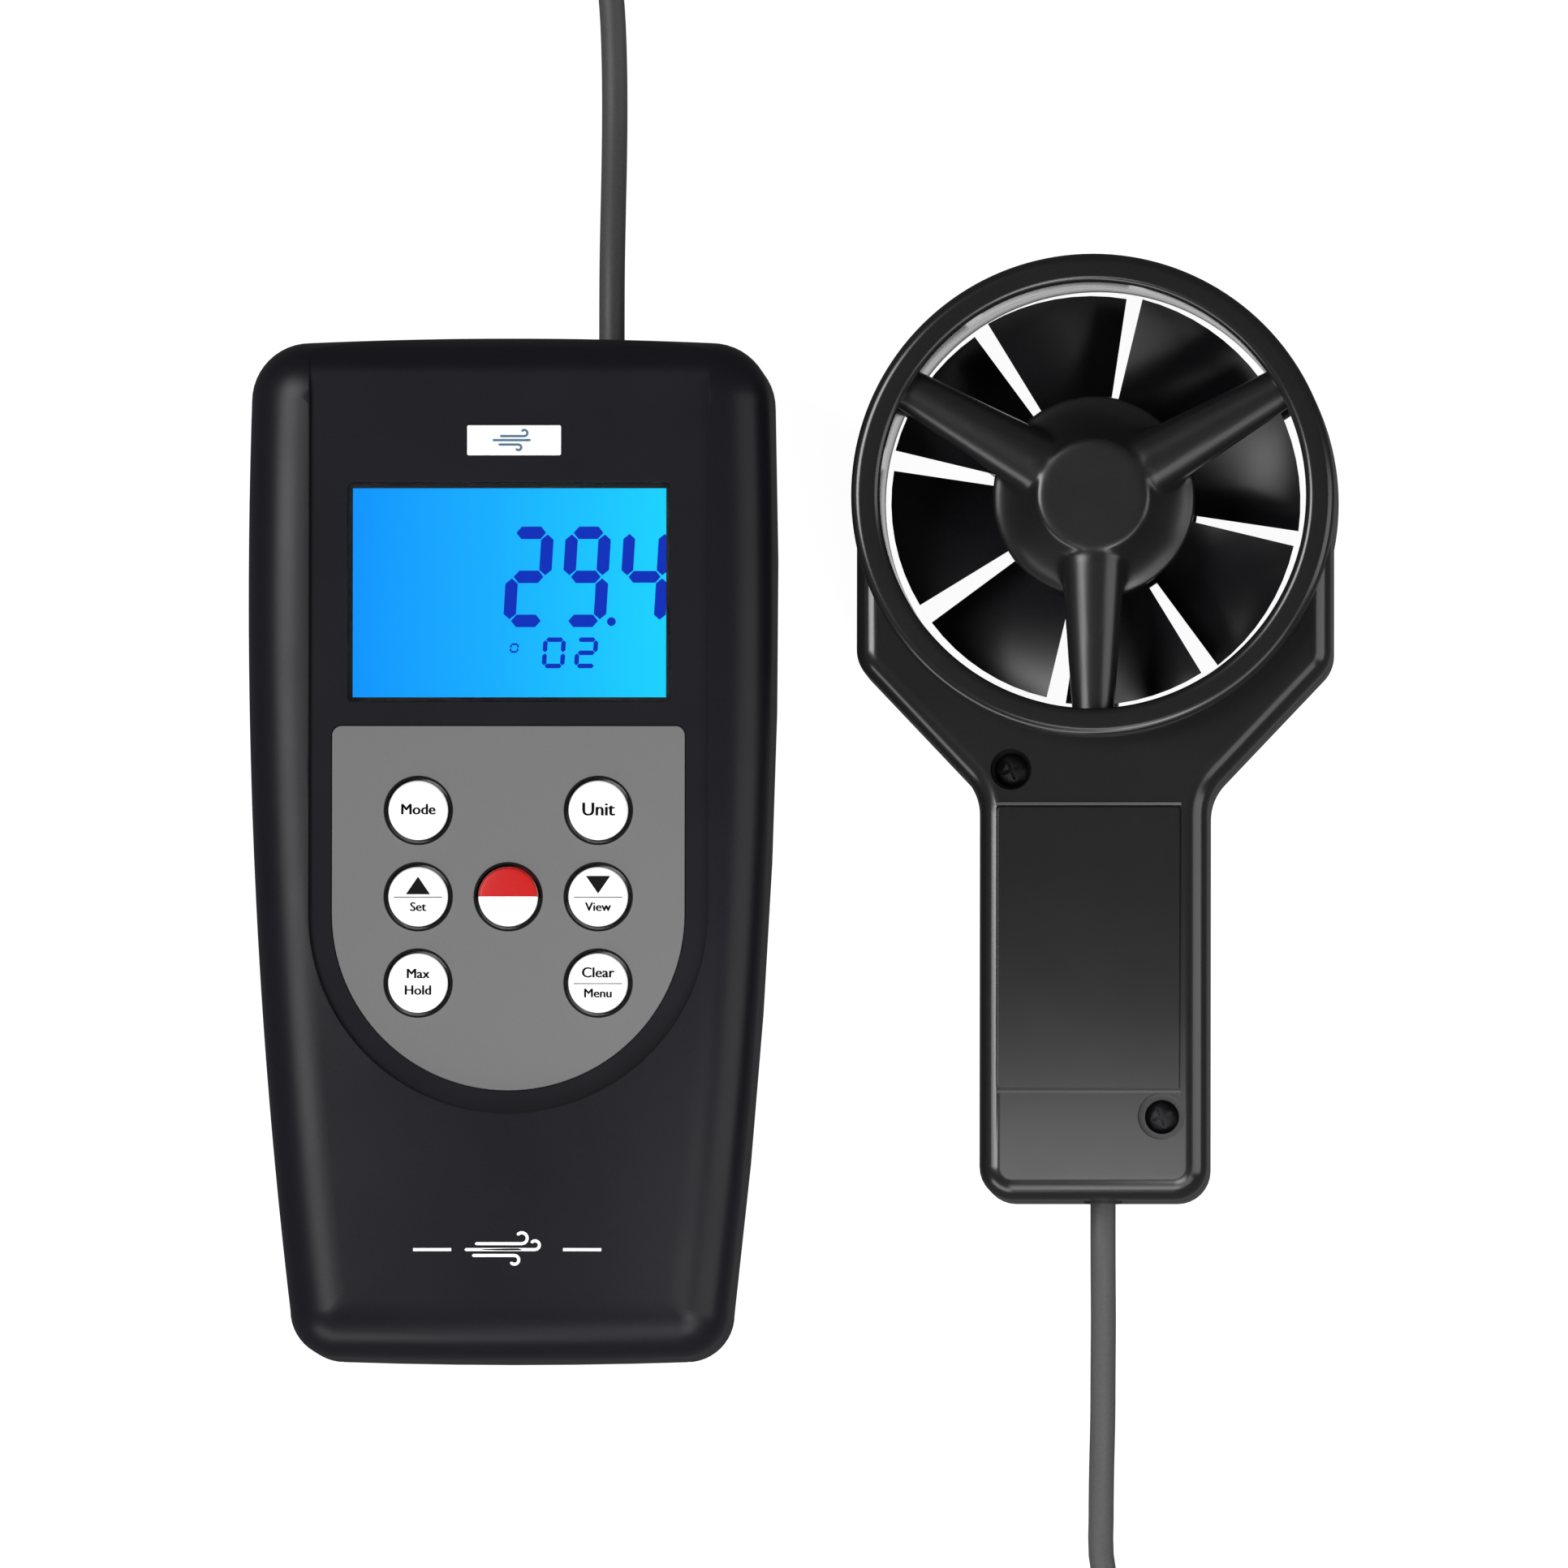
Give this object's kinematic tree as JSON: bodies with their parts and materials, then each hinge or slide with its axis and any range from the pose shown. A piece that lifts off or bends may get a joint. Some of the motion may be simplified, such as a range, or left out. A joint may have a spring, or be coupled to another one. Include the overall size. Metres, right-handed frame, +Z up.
{
  "type": "vane anemometer",
  "caption": "Hand-held digital wind meter with a lit display and round keys, and a separate vane probe with guard arms on a flexible cord.",
  "frame": {"origin": "on the supporting surface, at the centre of the footprint of the meter and the probe, without the cord", "axes": "+Z up out of the display, +Y towards the meter's cord end, +X from the meter to the probe"},
  "size_m": [0.1882, 0.2926, 0.032],
  "materials": {
    "case_plastic": "satin moulded, near black",
    "window_clear": "clear, polished",
    "foam": "dull black",
    "display": "lit blue liquid crystal",
    "white_plastic": "white, smooth",
    "keypad_foil": "printed foil, fine matt",
    "key_white": "white, satin",
    "key_red": "red and white, satin",
    "soft_rubber": "dull",
    "circuit_board": "green solder mask",
    "cell_jacket": "plain wrapped",
    "plain_steel": "bright",
    "probe_plastic": "polished, near black",
    "vane_plastic": "polished, near black",
    "cord_jacket": "grey, smooth, dull"
  },
  "bodies": {
    "meter": {"front_shell": "case_plastic", "rear_shell": "case_plastic", "lcd_frame": "case_plastic", "display_window": "window_clear", "window_gasket": "foam", "zebra_strip": "foam", "cord_tie": "foam", "lcd_panel": "display", "backlight_panel": "white_plastic", "badge": "white_plastic", "keypad_overlay": "keypad_foil", "key_mat": "soft_rubber", "main_gland": "soft_rubber", "main_board": "circuit_board", "battery_1": "cell_jacket", "battery_2": "cell_jacket", "battery_3": "cell_jacket", "battery_4": "cell_jacket", "battery_contacts_lower": "plain_steel", "battery_contacts_upper": "plain_steel", "case_screw_1": "plain_steel", "case_screw_2": "plain_steel", "case_screw_3": "plain_steel", "case_screw_4": "plain_steel", "cord_meter_lead": "cord_jacket", "cord_coil": "cord_jacket", "cord_probe_lead": "cord_jacket"},
    "probe": {"probe_front_housing": "probe_plastic", "probe_rear_housing": "probe_plastic", "probe_label": "probe_plastic", "front_bearing": "plain_steel", "rear_bearing": "plain_steel", "pickup_sensor": "foam", "probe_board": "circuit_board", "probe_screw_1": "plain_steel", "probe_screw_2": "plain_steel", "probe_gland": "soft_rubber"},
    "vane": {"vane_wheel": "vane_plastic", "vane_shaft": "plain_steel"},
    "battery_door": {"battery_cover": "case_plastic"},
    "key_function": {"key_function": "key_white"},
    "key_unit": {"key_unit": "key_white"},
    "key_up": {"key_up": "key_white"},
    "key_power": {"key_power": "key_red"},
    "key_down": {"key_down": "key_white"},
    "key_hold": {"key_hold": "key_white"},
    "key_menu": {"key_menu": "key_white"}
  },
  "joints": [
    {"name": "probe_lift", "type": "slide", "parent": "meter", "child": "probe", "axis": [0, 0, 1], "range_m": [0, 0.012]},
    {"name": "vane_spin", "type": "hinge", "parent": "probe", "child": "vane", "pos_m": [0.0411, 0.0424, 0.0146], "axis": [0, 0, 1], "continuous": true},
    {"name": "battery_door_slide", "type": "slide", "parent": "meter", "child": "battery_door", "axis": [0, -1, 0], "range_m": [0, 0.063]},
    {"name": "key_function_press", "type": "slide", "parent": "meter", "child": "key_function", "axis": [0, 0, -1], "range_m": [0, 0.0005], "stiffness_N_per_m": 400},
    {"name": "key_unit_press", "type": "slide", "parent": "meter", "child": "key_unit", "axis": [0, 0, -1], "range_m": [0, 0.0005], "stiffness_N_per_m": 400},
    {"name": "key_up_press", "type": "slide", "parent": "meter", "child": "key_up", "axis": [0, 0, -1], "range_m": [0, 0.0005], "stiffness_N_per_m": 400},
    {"name": "key_power_press", "type": "slide", "parent": "meter", "child": "key_power", "axis": [0, 0, -1], "range_m": [0, 0.0005], "stiffness_N_per_m": 400},
    {"name": "key_down_press", "type": "slide", "parent": "meter", "child": "key_down", "axis": [0, 0, -1], "range_m": [0, 0.0005], "stiffness_N_per_m": 400},
    {"name": "key_hold_press", "type": "slide", "parent": "meter", "child": "key_hold", "axis": [0, 0, -1], "range_m": [0, 0.0005], "stiffness_N_per_m": 400},
    {"name": "key_menu_press", "type": "slide", "parent": "meter", "child": "key_menu", "axis": [0, 0, -1], "range_m": [0, 0.0005], "stiffness_N_per_m": 400}
  ]
}
